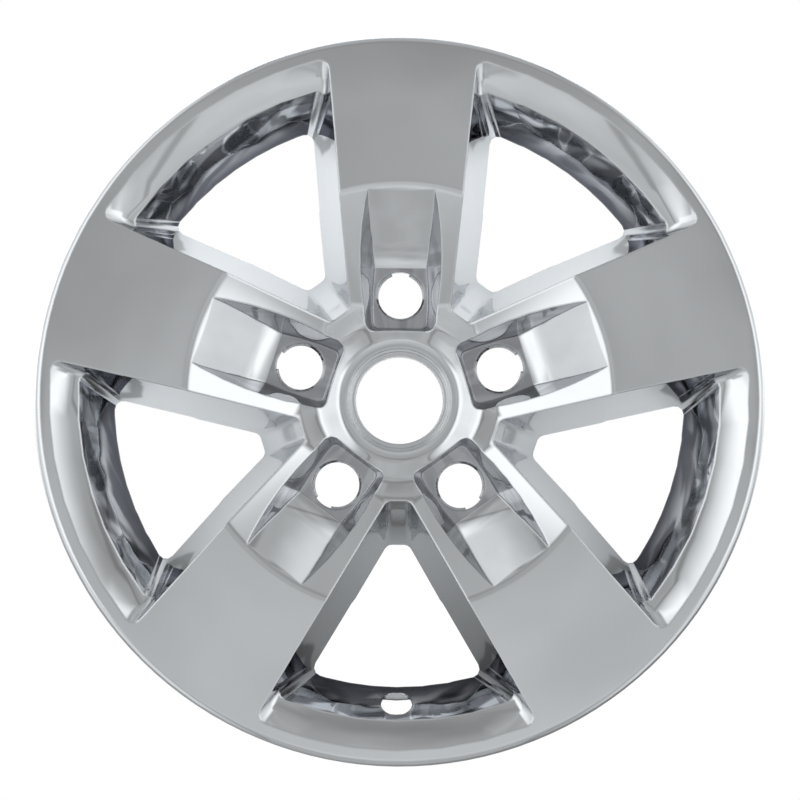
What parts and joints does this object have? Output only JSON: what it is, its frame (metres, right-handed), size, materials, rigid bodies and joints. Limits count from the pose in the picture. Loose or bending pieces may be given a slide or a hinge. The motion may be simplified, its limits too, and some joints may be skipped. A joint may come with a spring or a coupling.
{
  "type": "wheel cover",
  "caption": "Chromed one-piece skin that clips over a spoked wheel, with open windows, nut pockets, a centre hole and a valve hole.",
  "frame": {"origin": "on the wheel's axis, in the rear plane on which the windows' inner ends stand", "axes": "+Z along the wheel's axis out of the face, +Y along one spoke, away from the valve hole"},
  "size_m": [0.42, 0.42, 0.061],
  "materials": {
    "chrome": "bright chrome plating over moulded plastic"
  },
  "bodies": {
    "root": {"wheel_cover": "chrome"}
  },
  "joints": []
}
